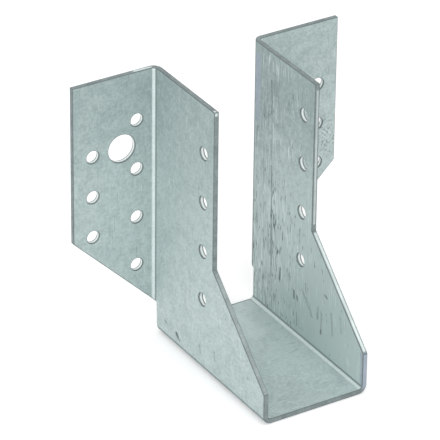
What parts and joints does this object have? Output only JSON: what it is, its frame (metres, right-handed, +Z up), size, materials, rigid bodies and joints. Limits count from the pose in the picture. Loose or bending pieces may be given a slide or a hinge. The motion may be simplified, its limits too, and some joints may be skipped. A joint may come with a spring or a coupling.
{
  "type": "joist hanger",
  "caption": "Face-fix joist hanger folded from galvanised sheet steel: an open pocket with a seat, sloping side plates, and outward flanges punched for nails and bolts.",
  "frame": {"origin": "middle of the footprint on the plane of the seat's underside; the header plane is half the seat depth behind it, at Y = +39 mm", "axes": "+X across the joist, -Y the way the joist leaves, +Y into the header, +Z up"},
  "size_m": [0.112, 0.078, 0.11],
  "materials": {
    "galvanised_sheet": "dull hot-dip galvanised, fine mottle, handling scratches"
  },
  "bodies": {
    "root": {"joist_hanger": "galvanised_sheet"}
  },
  "joints": []
}
